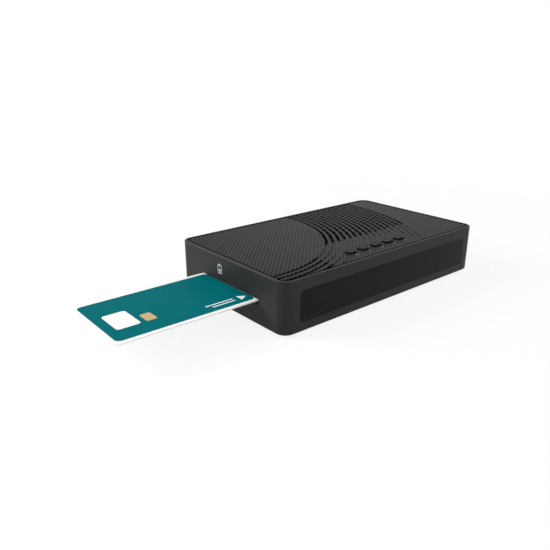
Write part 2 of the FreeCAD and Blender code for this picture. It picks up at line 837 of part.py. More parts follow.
def make_base_cover():
    body = new_body("base_cover")
    outline = Profile(body, "cover_outline", offset="foot_drop")
    inset_outline(
        outline, "side_wall + fit_gap", "front_wall + fit_gap", "side_wall + fit_gap",
        "corner_radius - front_wall - fit_gap",
    )
    outline.pad("floor_thickness")
    posts = Profile(body, "board_posts", offset=FLOOR_TOP)
    for x, y in post_places():
        posts.circle(x, y, "post_radius")
    posts.pad("post_height")
    pilots = Profile(body, "board_pilots", offset=BOARD_LOW)
    for x, y in post_places():
        pilots.circle(x, y, "board_pilot_radius")
    pilots.pocket("post_height")
    recesses = Profile(body, "foot_recesses", offset="foot_drop")
    for name, x, y in foot_places():
        recesses.circle(x, y, "foot_radius + foot_gap")
    recesses.pocket("foot_recess", inward=True)
    holes = Profile(body, "cover_screw_holes", offset="foot_drop")
    for x, y in corners_of(BOSS_X, BOSS_Y):
        holes.circle(x, y, "case_screw_radius + screw_hole_gap")
    holes.pocket()
    sinks = Profile(body, "cover_counterbores", offset="foot_drop")
    for x, y in corners_of(BOSS_X, BOSS_Y):
        sinks.circle(x, y, "case_screw_head_radius + screw_hole_gap")
    sinks.pocket("counterbore_depth", inward=True)
    make_floor_vents(body)


def make_floor_vents(body):
    """Two rows of slots in the floor, which let air in under the board."""
    vents = Profile(body, "floor_vents", offset="foot_drop")
    first = "(floor_slot_length - floor_slot_pitch * (floor_slot_count - 1) / 2)"
    for row in ("-", ""):
        middle = f"({row}(floor_slot_length / 2 + floor_slot_width))"
        vents.rounded(
            (f"{first} - floor_slot_width / 2", f"{middle} - floor_slot_length / 2"),
            (f"{first} + floor_slot_width / 2", f"{middle} + floor_slot_length / 2"),
            "floor_slot_width * 0.45",
        )
    pattern(body, vents.pocket(), "X_Axis", "floor_slot_pitch * (floor_slot_count - 1)", "floor_slot_count")


def post_places():
    """Board posts in front of and behind the card reader, clear of their screws' heads."""
    x = "(case_width / 2 - post_side_inset)"
    reach = f"({READER_HALF} + post_reader_gap + board_screw_head_radius)"
    return [(f"{sign}{x}", f"({CARD_Y} {way} {reach})") for sign in ("-", "") for way in ("-", "+")]


def foot_places():
    places = []
    for side, sign_x in (("left", "-"), ("right", "")):
        for end, sign_y in (("front", "-"), ("back", "")):
            x = f"({sign_x}(case_width / 2 - foot_side_inset))"
            y = f"({sign_y}(case_depth / 2 - foot_end_inset))"
            places.append((f"foot_{end}_{side}", x, y))
    return places


def make_feet():
    for name, x, y in foot_places():
        body = new_body(name)
        disc = Profile(body, f"{name}_disc")
        disc.circle(x, y, "foot_radius")
        feature = disc.pad("foot_drop + foot_recess")
        round_face(body, feature, "Z", "0", "foot_chamfer", kind="Chamfer")


def make_case_screws():
    screws = []
    for i, (x, y) in enumerate(corners_of(BOSS_X, BOSS_Y)):
        seat = "(foot_drop + counterbore_depth)"
        low = f"{seat} - case_screw_head_height"
        head = rod(f"case_screw_head_{i}", "case_screw_head_radius", (x, y, low), "case_screw_head_height")
        cross = [
            block(f"case_screw_cross_{i}_{a}",
                  (f"{x} - {a}", f"{y} - {b}", low),
                  (f"{x} + {a}", f"{y} + {b}", f"{seat} - case_screw_head_height / 3"))
            for a, b in (("case_screw_radius", "case_screw_radius / 4"),
                         ("case_screw_radius / 4", "case_screw_radius"))
        ]
        shank = rod(f"case_screw_shank_{i}", "case_screw_radius", (x, y, seat), "case_screw_length")
        screws.append(cut(f"case_screw_{i}", join(f"case_screw_solid_{i}", [head, shank]), cross))
    group("case_screws", screws)


def make_main_board():
    body = new_body("main_board")
    board = Profile(body, "board_outline", offset=BOARD_LOW)
    board.rectangle((f"-{BOARD_HALF}", f"{CASE_FRONT} + front_wall + board_gap"),
                    (BOARD_HALF, f"{PANEL_BACK} - board_gap"))
    for x, y in post_places():
        board.circle(x, y, "board_screw_radius + fit_gap")
    board.pad("board_thickness")
    screws = []
    for i, (x, y) in enumerate(post_places()):
        head = rod(f"board_screw_head_{i}", "board_screw_head_radius", (x, y, BOARD_TOP),
                   "board_screw_head_height")
        shank = rod(f"board_screw_shank_{i}", "board_screw_radius", (x, y, f"{FLOOR_TOP} + board_gap"),
                    f"{BOARD_TOP} - {FLOOR_TOP} - board_gap")
        screws.append(join(f"board_screw_{i}", [head, shank]))
    group("board_screws", screws)


def make_tuner():
    """Screened can on the board, with the threaded aerial connector on its back."""
    body = new_body("tuner_can")
    can = Profile(body, "can_outline", offset=BOARD_TOP)
    can.rounded(("lnb_place - tuner_width / 2", f"{TUNER_BACK} - tuner_depth"),
                ("lnb_place + tuner_width / 2", TUNER_BACK), "can_round")
    feature = can.pad("tuner_height")
    round_face(body, feature, "Z", f"{BOARD_TOP} + tuner_height", "can_round / 2")

    level = f"({BOARD_TOP} + lnb_level)"
    flange = rod("lnb_flange", "lnb_flange_radius", ("lnb_place", TUNER_BACK, level),
                 "lnb_flange_length", "y")
    barrel_length = "(panel_thickness + lnb_reach)"
    barrel = rod("lnb_barrel", "lnb_radius", ("lnb_place", PANEL_BACK, level), barrel_length, "y")
    shoulder = rod("lnb_shoulder_rod", "lnb_radius + lnb_shoulder", ("lnb_place", PANEL_BACK, level),
                   "panel_thickness + nut_thickness + nut_gap", "y")
    tip = f"({PANEL_BACK} + {barrel_length})"
    mouth = rod("lnb_mouth", "lnb_bore_radius", ("lnb_place", f"{tip} - lnb_bore_depth", level),
                "lnb_bore_depth", "y")
    label(cut("lnb_connector", join("lnb_body", [flange, shoulder, barrel]), [mouth]), "lnb_connector")
    insulator = rod("lnb_core", "lnb_bore_radius", ("lnb_place", f"{tip} - lnb_bore_depth", level),
                    "lnb_bore_depth - panel_thickness / 2", "y")
    contact = rod("lnb_contact_hole", "lnb_contact_radius",
                  ("lnb_place", f"{tip} - lnb_bore_depth / 2", level), "lnb_bore_depth", "y")
    label(cut("lnb_insulator", insulator, [contact]), "lnb_insulator")

    nut = new_body("lnb_nut")
    hexagon = Profile(nut, "nut_outline", "XZ_Plane", f"-{PANEL_FACE}")
    reach = f"nut_across / {math.sqrt(3):.6f}"
    turns = [(math.cos(math.radians(60 * i)), math.sin(math.radians(60 * i))) for i in range(6)]
    hexagon.polygon([(f"lnb_place + {x:.6f} * {reach}", f"{level} + {y:.6f} * {reach}") for x, y in turns])
    hexagon.circle("lnb_place", level, "lnb_radius + lnb_shoulder + nut_gap")
    hexagon.pad("nut_thickness", downward=True)


def socket_box(kind):
    """Low and high corner of a socket that stands on the board with its face in the rear panel."""
    low = (f"{kind}_place - {kind}_width / 2", f"{PANEL_FACE} - {kind}_depth", BOARD_TOP)
    high = (f"{kind}_place + {kind}_width / 2", PANEL_FACE, f"{BOARD_TOP} + {kind}_height")
    return low, high


def make_ethernet_socket():
    bay_low = f"({BOARD_TOP} + plug_bay_level)"
    bay_end = f"({PANEL_FACE} - plug_bay_depth)"
    bay_top = f"({bay_low} + plug_bay_height)"
    bay = block("plug_bay", ("ethernet_place - plug_bay_width / 2", bay_end, bay_low),
                ("ethernet_place + plug_bay_width / 2", PANEL_FACE, bay_top))
    latch = block("latch_notch", ("ethernet_place - latch_width / 2", bay_end, f"{bay_low} - latch_drop"),
                  ("ethernet_place + latch_width / 2", PANEL_FACE, bay_low))
    shell = block("ethernet_shell", *socket_box("ethernet"))
    label(cut("ethernet_socket", shell, [bay, latch]), "ethernet_socket")
    wires = []
    for i in range(WIRES_IN_SOCKET):
        x = f"(ethernet_place + {i - (WIRES_IN_SOCKET - 1) / 2} * wire_pitch)"
        wires.append(block(f"ethernet_wire_{i}", (f"{x} - wire_gauge", bay_end, f"{bay_top} - wire_gauge"),
                           (f"{x} + wire_gauge", f"{PANEL_FACE} - wire_inset", bay_top)))
    group("ethernet_contacts", wires)


def make_tongue_socket(kind):
    """A metal shell open at the back, with a contact tongue that stands out of its inner wall."""
    low, high = socket_box(kind)
    wall = f"{kind}_wall"
    hollow = block(f"{kind}_hollow",
                   (f"{low[0]} + {wall}", f"{low[1]} + {wall} * 3", f"{low[2]} + {wall}"),
                   (f"{high[0]} - {wall}", high[1], f"{high[2]} - {wall}"))
    shell = cut(f"{kind}_shell", block(f"{kind}_block", low, high), [hollow])
    middle = f"({BOARD_TOP} + {kind}_height / 2)"
    half = f"{kind}_tongue_thickness / 2"
    left, right = [f"{kind}_place {sign} {kind}_tongue_width / 2" for sign in "-+"]
    tongue = block(f"{kind}_tongue", (left, f"{low[1]} + {wall}", f"{middle} - {half}"),
                   (right, f"{PANEL_FACE} - {wall} * 2", f"{middle} + {half}"))
    label(join(f"{kind}_socket", [shell, tongue]), f"{kind}_socket")


def make_audio_jack():
    """Coaxial jack: a moulded body inside the panel and a round shell outside it."""
    level = f"({BOARD_TOP} + audio_body_height / 2)"
    base = block("audio_body",
                 ("audio_place - audio_body_width / 2", f"{PANEL_BACK} - audio_body_depth", BOARD_TOP),
                 ("audio_place + audio_body_width / 2", PANEL_BACK, f"{BOARD_TOP} + audio_body_height"))
    shell_length = "(panel_thickness + audio_shell_length)"
    shell = rod("audio_shell", "audio_shell_radius", ("audio_place", PANEL_BACK, level), shell_length, "y")
    tip = f"({PANEL_BACK} + {shell_length})"
    bore = rod("audio_bore", "audio_bore_radius", ("audio_place", f"{tip} - audio_bore_depth", level),
               "audio_bore_depth", "y")
    label(cut("digital_audio_jack", join("audio_solid", [base, shell]), [bore]), "digital_audio_jack")


def make_av_jack():
    level = f"({BOARD_TOP} + av_body_height / 2)"
    base = block("av_body",
                 ("av_place - av_body_width / 2", f"{PANEL_BACK} - av_body_depth", BOARD_TOP),
                 ("av_place + av_body_width / 2", PANEL_BACK, f"{BOARD_TOP} + av_body_height"))
    nose_length = "panel_thickness + av_nose_length"
    nose = rod("av_nose", "av_nose_radius", ("av_place", PANEL_BACK, level), nose_length, "y")
    bore_end = f"({PANEL_FACE} + av_nose_length - av_bore_depth)"
    bore = rod("av_bore", "av_bore_radius", ("av_place", bore_end, level), "av_bore_depth", "y")
    label(cut("av_jack", join("av_solid", [base, nose]), [bore]), "av_jack")


def make_dc_jack():
    low, high = socket_box("dc")
    bore_end = ("dc_place", f"{PANEL_FACE} - dc_bore_depth", f"{BOARD_TOP} + dc_height / 2")
    bore = rod("dc_bore", "dc_bore_radius", bore_end, "dc_bore_depth", "y")
    label(cut("dc_jack", block("dc_block", low, high), [bore]), "dc_jack")
    label(rod("dc_jack_pin", "dc_pin_radius", bore_end, "dc_pin_length", "y"), "dc_jack_pin")


def make_rear_panel():
    body = new_body("rear_panel")
    panel = Profile(body, "panel_outline", "XZ_Plane", f"-{PANEL_FACE}")
    panel.rectangle((f"-{BOARD_HALF}", FLOOR_TOP), (BOARD_HALF, f"{SEAT_TOP} - seat_height"))
    panel.pad("panel_thickness")
    holes = Profile(body, "panel_holes", "XZ_Plane", f"-{PANEL_FACE}")
    for kind in ("ethernet", "hdmi", "usb", "dc"):
        low, high = socket_box(kind)
        holes.rectangle((f"{low[0]} - socket_gap", f"{low[2]} - socket_gap"),
                        (f"{high[0]} + socket_gap", f"{high[2]} + socket_gap"))
    holes.circle("lnb_place", f"{BOARD_TOP} + lnb_level", "lnb_radius + lnb_shoulder + socket_gap")
    holes.circle("audio_place", f"{BOARD_TOP} + audio_body_height / 2", "audio_shell_radius + socket_gap")
    holes.circle("av_place", f"{BOARD_TOP} + av_body_height / 2", "av_nose_radius + socket_gap")
    holes.pocket()


def make_smart_card():
    """Card with its contact plate let into the underside, near the edge that goes in first."""
    body = new_body("smart_card")
    outline = Profile(body, "card_outline", offset=CARD_LOW)
    outline.rounded((f"{CARD_EDGE} - card_length", f"{CARD_Y} - card_width / 2"),
                    (CARD_EDGE, f"{CARD_Y} + card_width / 2"), "card_corner")
    outline.pad("card_thickness")
    seat = Profile(body, "chip_seat", offset=CARD_LOW)
    seat.rectangle(*chip_corners("chip_gap"))
    seat.pocket("chip_thickness", inward=True)
    chip = new_body("card_contacts")
    plate = Profile(chip, "chip_outline", offset=CARD_LOW)
    plate.rounded(*chip_corners("0"), "chip_corner")
    plate.pad("chip_thickness")


def chip_corners(grow):
    x = f"({CARD_EDGE} - chip_from_edge)"
    y = f"({CARD_Y} + chip_offset)"
    low = (f"{x} - chip_length / 2 - {grow}", f"{y} - chip_width / 2 - {grow}")
    high = (f"{x} + chip_length / 2 + {grow}", f"{y} + chip_width / 2 + {grow}")
    return low, high


def make_card_reader():
    """Open frame on four legs: a plate under the card, a rail with a lip along each edge, and a stop."""
    stop = f"({CARD_EDGE} + card_travel + card_gap)"
    end = f"({stop} + reader_stop_thickness)"
    start = f"({CASE_LEFT} + reader_lead)"
    plate_top = f"({CARD_LOW} - card_gap)"
    plate_low = f"({plate_top} - reader_plate)"
    lip_low = f"({CARD_HIGH} + card_gap)"
    lip_top = f"({lip_low} + reader_lip)"
    edge = "(card_width / 2 + card_gap)"
    front_outer = f"({CARD_Y} - {READER_HALF})"
    back_outer = f"({CARD_Y} + {READER_HALF})"
    pieces = [
        block("reader_plate_block", (start, front_outer, plate_low), (end, back_outer, plate_top)),
        block("reader_stop", (stop, front_outer, plate_low), (end, back_outer, lip_top)),
        block("reader_rail_front", (start, front_outer, plate_low), (end, f"{CARD_Y} - {edge}", lip_top)),
        block("reader_rail_back", (start, f"{CARD_Y} + {edge}", plate_low), (end, back_outer, lip_top)),
        block("reader_lip_front", (start, front_outer, lip_low),
              (end, f"{CARD_Y} - {edge} + reader_lip_reach", lip_top)),
        block("reader_lip_back", (start, f"{CARD_Y} + {edge} - reader_lip_reach", lip_low),
              (end, back_outer, lip_top)),
    ]
    for side, x in (("left", f"(-{BOARD_HALF} + reader_leg)"), ("right", f"({end} - reader_leg)")):
        for row, y in (("front", front_outer), ("back", f"({back_outer} - reader_leg)")):
            pieces.append(block(f"reader_leg_{row}_{side}", (x, y, BOARD_TOP),
                                (f"{x} + reader_leg", f"{y} + reader_leg", plate_low)))
    chip_x = f"({CARD_EDGE} + card_travel - chip_from_edge)"
    chip_y = f"({CARD_Y} + chip_offset)"
    well_floor = f"({plate_top} - contact_recess)"
    half_x = "(chip_length / 2 + contact_well_margin)"
    half_y = "(chip_width / 2 + contact_well_margin)"
    well = block("contact_well", (f"{chip_x} - {half_x}", f"{chip_y} - {half_y}", well_floor),
                 (f"{chip_x} + {half_x}", f"{chip_y} + {half_y}", plate_top))
    label(cut("card_reader_frame", join("reader_solid", pieces), [well]), "card_reader_frame")
    make_contact_springs(chip_x, chip_y, well_floor)
    switch = block("card_detect_switch",
                   (f"{stop} - reader_leg", f"{CARD_Y} - reader_leg", f"{plate_low} - reader_leg"),
                   (end, f"{CARD_Y} + reader_leg", plate_low))
    label(switch, "card_detect_switch")


def make_contact_springs(chip_x, chip_y, floor):
    """Eight bent leaves in two rows, whose crowns press on the card's contact plate."""
    leaves = []
    crown = f"({CARD_LOW} - contact_clear)"
    for side, sign in (("left", "-"), ("right", "+")):
        for i in range(CONTACTS_IN_ROW):
            body = doc.addObject("PartDesign::Body", f"leaf_{side}_{i}")
            step = i - (CONTACTS_IN_ROW - 1) / 2
            y = f"({chip_y} + {step} * contact_pitch + contact_width / 2)"
            leaf = Profile(body, f"leaf_outline_{side}_{i}", "XZ_Plane", f"-{y}")
            root = f"({chip_x} {sign} chip_length / 2)"
            inward = "-" if sign == "+" else "+"
            bend = f"({root} {inward} contact_length * 0.4)"
            peak = f"({root} {inward} contact_length * 0.8)"
            tip = f"({root} {inward} contact_length)"
            points = [
                (root, floor), (bend, floor), (peak, f"{crown} - contact_gauge"),
                (tip, f"{crown} - contact_gauge * 2"), (tip, f"{crown} - contact_gauge"), (peak, crown),
                (bend, f"{floor} + contact_gauge"), (root, f"{floor} + contact_gauge"),
            ]
            leaf.polygon(points)
            leaf.pad("contact_width")
            leaves.append(body)
    group("card_reader_contacts", leaves)


def make_processor():
    half = "processor_side / 2"
    label(block("processor", (f"processor_place - {half}", f"-{half}", BOARD_TOP),
                (f"processor_place + {half}", half, f"{BOARD_TOP} + processor_height")), "processor")
    body = new_body("heat_sink")
    low = f"({BOARD_TOP} + processor_height)"
    plate = Profile(body, "sink_plate", offset=low)
    plate.rectangle(("processor_place - sink_side / 2", "-sink_side / 2"),
                    ("processor_place + sink_side / 2", "sink_side / 2"))
    plate.pad("sink_base")
    fin = Profile(body, "sink_fin_outline", offset=f"{low} + sink_base")
    fin.rectangle(("processor_place - sink_side / 2", "-sink_side / 2"),
                  ("processor_place - sink_side / 2 + sink_fin", "sink_side / 2"))
    first = fin.pad("sink_height - sink_base")
    pattern(body, first, "X_Axis", "sink_side - sink_fin", "sink_fin_count")


def make_board_parts():
    chips = []
    for i in range(2):
        back = f"({TUNER_BACK} - tuner_depth - memory_gap - {i} * memory_pitch)"
        chips.append(block(f"memory_{i}",
                           ("memory_place - memory_width / 2", f"{back} - memory_depth", BOARD_TOP),
                           ("memory_place + memory_width / 2", back, f"{BOARD_TOP} + memory_height")))
    group("memory_chips", chips)
    label(block("flash_chip",
                ("flash_place - flash_width / 2", "-flash_forward - flash_depth / 2", BOARD_TOP),
                ("flash_place + flash_width / 2", "-flash_forward + flash_depth / 2",
                 f"{BOARD_TOP} + memory_height")), "flash_chip")
    cans = []
    coils = []
    for i in range(int(number("capacitor_count"))):
        x = f"(capacitor_first + {i} * capacitor_pitch)"
        foot = (x, "capacitor_row", BOARD_TOP)
        cans.append(rod(f"capacitor_{i}", "capacitor_radius", foot, "capacitor_height"))
    for i in range(int(number("inductor_count"))):
        y = f"(inductor_row - {i} * (inductor_side + inductor_gap))"
        x = "(capacitor_first - capacitor_radius)"
        coils.append(block(f"inductor_{i}", (f"{x} - inductor_side", y, BOARD_TOP),
                           (x, f"{y} + inductor_side", f"{BOARD_TOP} + inductor_height")))
    group("capacitors", cans)
    group("inductors", coils)


def make_front_board():
    """Upright board behind the window, with the display, the remote control's eye and the lamp."""
    top = f"({BOARD_TOP} + front_board_height)"
    label(block("front_board", ("-front_board_width / 2", f"{FRONT_BOARD_Y} - board_thickness", BOARD_TOP),
                ("front_board_width / 2", FRONT_BOARD_Y, top)), "front_board")
    face = f"({FRONT_BOARD_Y} - board_thickness)"
    lens = f"({WINDOW_BACK} + lens_gap)"
    middle = "(foot_drop + (display_opening_low + display_opening_high) / 2)"
    label(block("display_module", ("-display_width / 2", lens, f"{middle} - display_height / 2"),
                ("display_width / 2", face, f"{middle} + display_height / 2")), "display_module")
    ir_face = f"({lens} + ir_dome_radius)"
    ir_body = block("ir_body", ("ir_place - ir_width / 2", ir_face, f"{middle} - ir_height / 2"),
                    ("ir_place + ir_width / 2", face, f"{middle} + ir_height / 2"))
    dome = doc.addObject("Part::Sphere", "ir_dome")
    dome.setExpression("Radius", bound("ir_dome_radius"))
    for axis, place in zip("xyz", ("ir_place", ir_face, middle)):
        dome.setExpression(f"Placement.Base.{axis}", bound(place))
    label(join("ir_receiver", [ir_body, dome]), "ir_receiver")
    led = rod("standby_led", "led_radius", ("led_place", lens, middle), f"{face} - {lens}", "y")
    label(led, "standby_led")
    label(block("board_header", ("-header_width / 2", FRONT_BOARD_Y, BOARD_TOP),
                ("header_width / 2", f"{FRONT_BOARD_Y} + header_depth", f"{BOARD_TOP} + header_height")),
          "board_header")
    board_low = f"({KEY_BOARD_TOP} - board_thickness)"
    label(block("key_header", ("-header_width / 2", FRONT_BOARD_Y, f"{board_low} - header_height"),
                ("header_width / 2", f"{FRONT_BOARD_Y} + header_depth", board_low)), "key_header")


def check_and_write():
    doc.recompute()
    for thing in doc.Objects:
        if {"Invalid", "Error"} & set(thing.State):
            raise RuntimeError(f"{thing.Label} failed: {thing.State}")
    os.makedirs("parts", exist_ok=True)
    for thing in nodes:
        shape = thing.Shape
        if shape.isNull() or not shape.isValid() or not shape.Solids:
            raise RuntimeError(f"{thing.Label} has no sound solid")
    for thing in nodes:
        thing.Shape.exportStep(f"parts/{thing.Label}.step")
        box = thing.Shape.BoundBox
        spans = [f"{axis} {low:.2f} to {high:.2f}" for axis, low, high in (
            ("x", box.XMin, box.XMax), ("y", box.YMin, box.YMax), ("z", box.ZMin, box.ZMax))]
        print(thing.Label, len(thing.Shape.Solids), "solid", f"{thing.Shape.Volume:.1f} mm3", *spans)


make_case_body()
make_top_plate()
for key_name, key_x in key_places():
    make_key(key_name, key_x)
make_key_switches()
make_key_board()
make_front_window()
make_base_cover()
make_feet()
make_case_screws()
make_main_board()
make_tuner()
make_ethernet_socket()
make_tongue_socket("hdmi")
make_tongue_socket("usb")
make_audio_jack()
make_av_jack()
make_dc_jack()
make_rear_panel()
make_smart_card()
make_card_reader()
make_processor()
make_board_parts()
make_front_board()
check_and_write()
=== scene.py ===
import json
import math
import bmesh
import bpy
from mathutils import Matrix, Vector


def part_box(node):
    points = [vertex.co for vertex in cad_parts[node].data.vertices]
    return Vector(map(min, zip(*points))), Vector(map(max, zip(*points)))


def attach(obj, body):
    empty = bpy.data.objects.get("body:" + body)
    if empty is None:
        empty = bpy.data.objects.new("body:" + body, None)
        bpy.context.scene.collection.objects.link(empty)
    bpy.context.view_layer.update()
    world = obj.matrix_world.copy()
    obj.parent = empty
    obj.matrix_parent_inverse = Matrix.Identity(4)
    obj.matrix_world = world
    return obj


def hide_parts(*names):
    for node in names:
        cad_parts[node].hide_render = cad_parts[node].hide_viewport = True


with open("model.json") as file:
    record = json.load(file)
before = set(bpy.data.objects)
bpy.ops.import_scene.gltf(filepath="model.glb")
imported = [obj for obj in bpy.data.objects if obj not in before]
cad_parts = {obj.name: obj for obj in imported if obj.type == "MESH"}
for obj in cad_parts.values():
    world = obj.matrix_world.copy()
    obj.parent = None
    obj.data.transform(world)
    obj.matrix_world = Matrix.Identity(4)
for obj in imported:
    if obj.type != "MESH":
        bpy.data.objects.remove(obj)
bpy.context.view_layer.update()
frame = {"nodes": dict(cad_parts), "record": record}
nodes = frame["nodes"]
MM = 0.001
# Corners nearer than this are the same corner
WELD = 0.0005 * MM

# Camera, from the lines of the case in the photograph: angles in degrees, lengths in metres
VIEW_AZIMUTH = -39.77
VIEW_ELEVATION = 20.76
VIEW_DISTANCE = 0.3855
VIEW_ASIDE = -0.03792
VIEW_ABOVE = 0.00045
FRAME_PX = 550
FOCAL_PX = 573.4
SENSOR_MM = 36.0

# Lamps, all aimed at the origin: name, place, side of the square, watts
LAMPS = (
    ("back_left", (-0.8, 0.7, 0.6), 0.5, 15.0),
    ("overhead", (0.1, -0.1, 1.1), 0.9, 3.0),
    ("front_left", (-0.9, -0.8, 0.5), 0.7, 3.0),
    ("front_right", (0.7, -0.9, 0.5), 0.6, 3.0),
)
WHITE = (1, 1, 1, 1)
SKY_COLOUR = (0.95, 0.97, 1.0, 1)
SKY_STRENGTH = 0.36
FLOOR_REACH = 6.0
FLOOR_COLOUR = (0.88, 0.88, 0.88, 1)
# The floor's own shade shows a little within the first distance, and not at all past the second
FLOOR_SHADED = 0.12
FLOOR_PLAIN = 0.4
FLOOR_SHARE = 0.86

# Ribs moulded into the top plate and the keys
RIB_PITCH = 2.13 * MM
RIB_CREST = 0.18 * MM
RIB_VALLEY = -0.3 * MM
RIB_HEADING = math.radians(45.2)
RIB_CREASE = 8
# Share of painted shade and highlight striped into the ribs' colour
PAINTED_RIB_SHADE = 0.55

# The plate's corner, and the width of the painted shade line round its border, where the gap to the rim falls
# into shade
PLATE_CORNER = 4.7 * MM
PLATE_PAINTED_SHADE = 1.1 * MM

# The aerial connector's barrel: radii of the shoulder, the thread's crest and its root, the pitch, the
# plain end, the points round it, and the rows of points along one pitch
SHOULDER_RADIUS = 5.0 * MM
BARREL_RADIUS = 4.7 * MM
ROOT_RADIUS = 4.32 * MM
THREAD_PITCH = 0.794 * MM
THREAD_END = 0.5 * MM
THREAD_AROUND = 64
THREAD_ROWS = 8

# Prints: their height, and the places and sizes of the signs. The lines of the signs are in their own units
PRINT_HEIGHT = 0.02 * MM
LEGEND_SIZE = 1.05 * MM
LEGEND_AHEAD = 5.6 * MM
LEGEND_BAR = 0.3
SIDE_SIGN_Y = 7.2 * MM
SIDE_SIGN_Z = 24.0 * MM
SIDE_SIGN_LINE = 0.42
CARD_EDGE = 2.4 * MM
CARD_FIELD_CORNER = 3.0 * MM
CARD_ARROW_Y = 8.6 * MM

CARD_LOW, CARD_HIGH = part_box("smart_card")
CASE_LOW, CASE_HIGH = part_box("case_body")
KEYS = ("standby", "volume_down", "volume_up", "channel_down", "channel_up")


def make_camera():
    azimuth, elevation = math.radians(VIEW_AZIMUTH), math.radians(VIEW_ELEVATION)
    back = Vector((
        math.sin(azimuth) * math.cos(elevation),
        -math.cos(azimuth) * math.cos(elevation),
        math.sin(elevation),
    ))
    right = Vector((math.cos(azimuth), math.sin(azimuth), 0))
    up = back.cross(right)
    camera = bpy.data.objects.new("camera", bpy.data.cameras.new("camera"))
    bpy.context.scene.collection.objects.link(camera)
    turn = Matrix((right, up, back)).transposed().to_4x4()
    foot_drop = Vector((0, 0, CASE_LOW[2]))
    place = back * VIEW_DISTANCE + right * VIEW_ASIDE + up * VIEW_ABOVE + foot_drop
    camera.matrix_world = Matrix.Translation(place) @ turn
    camera.data.sensor_width = SENSOR_MM
    camera.data.lens = FOCAL_PX * SENSOR_MM / FRAME_PX
    camera.data.clip_start = 0.01
    bpy.context.scene.camera = camera


def make_lights():
    for name, place, size, power in LAMPS:
        light = bpy.data.lights.new(name, "AREA")
        light.shape = "SQUARE"
        light.size = size
        light.energy = power
        lamp = bpy.data.objects.new(name, light)
        lamp.location = place
        lamp.rotation_euler = (-Vector(place)).to_track_quat("-Z", "Y").to_euler()
        bpy.context.scene.collection.objects.link(lamp)


def camera_rays(tree):
    """1 for rays that come straight from the camera, or by a mirror or through glass, and 0 for others."""
    path = tree.nodes.new("ShaderNodeLightPath")
    total = path.outputs["Is Camera Ray"]
    for name in ("Is Glossy Ray", "Is Transmission Ray"):
        add = tree.nodes.new("ShaderNodeMath")
        add.operation = "ADD"
        add.use_clamp = True
        tree.links.new(total, add.inputs[0])
        tree.links.new(path.outputs[name], add.inputs[1])
        total = add.outputs[0]
    return total


def make_world():
    """White where it is seen, and a soft sky where it lights."""
    world = bpy.data.worlds.new("studio")
    bpy.context.scene.world = world
    world.use_nodes = True
    tree = world.node_tree
    tree.nodes.clear()
    lit = tree.nodes.new("ShaderNodeBackground")
    lit.inputs["Color"].default_value = SKY_COLOUR
    lit.inputs["Strength"].default_value = SKY_STRENGTH
    seen = tree.nodes.new("ShaderNodeBackground")
    seen.inputs["Color"].default_value = WHITE
    seen.inputs["Strength"].default_value = 1.0
    mix = tree.nodes.new("ShaderNodeMixShader")
    out = tree.nodes.new("ShaderNodeOutputWorld")
    tree.links.new(camera_rays(tree), mix.inputs[0])
    tree.links.new(lit.outputs[0], mix.inputs[1])
    tree.links.new(seen.outputs[0], mix.inputs[2])
    tree.links.new(mix.outputs[0], out.inputs["Surface"])


def make_floor():
    """White floor that keeps a soft shadow near the receiver and is plain white further out."""
    corners = [(x * FLOOR_REACH, y * FLOOR_REACH, 0) for x, y in ((-1, -1), (1, -1), (1, 1), (-1, 1))]
    mesh = bpy.data.meshes.new("floor")
    mesh.from_pydata(corners, [], [(0, 1, 2, 3)])
    floor = bpy.data.objects.new("floor", mesh)
    bpy.context.scene.collection.objects.link(floor)
    mat = bpy.data.materials.new("floor")
    mat.use_nodes = True
    tree = mat.node_tree
    tree.nodes.clear()
    matt = tree.nodes.new("ShaderNodeBsdfDiffuse")
    matt.inputs["Color"].default_value = FLOOR_COLOUR
    white = tree.nodes.new("ShaderNodeEmission")
    white.inputs["Color"].default_value = WHITE
    place = tree.nodes.new("ShaderNodeTexCoord")
    away = tree.nodes.new("ShaderNodeVectorMath")
    away.operation = "LENGTH"
    tree.links.new(place.outputs["Object"], away.inputs[0])
    share = tree.nodes.new("ShaderNodeMapRange")
    share.inputs["From Min"].default_value = FLOOR_SHADED
    share.inputs["From Max"].default_value = FLOOR_PLAIN
    share.inputs["To Min"].default_value = FLOOR_SHARE
    share.inputs["To Max"].default_value = 1.0
    tree.links.new(away.outputs["Value"], share.inputs["Value"])
    seen = tree.nodes.new("ShaderNodeMath")
    seen.operation = "MULTIPLY"
    tree.links.new(share.outputs["Result"], seen.inputs[0])
    tree.links.new(camera_rays(tree), seen.inputs[1])
    mix = tree.nodes.new("ShaderNodeMixShader")
    out = tree.nodes.new("ShaderNodeOutputMaterial")
    tree.links.new(seen.outputs[0], mix.inputs[0])
    tree.links.new(matt.outputs[0], mix.inputs[1])
    tree.links.new(white.outputs[0], mix.inputs[2])
    tree.links.new(mix.outputs[0], out.inputs["Surface"])
    mesh.materials.append(mat)


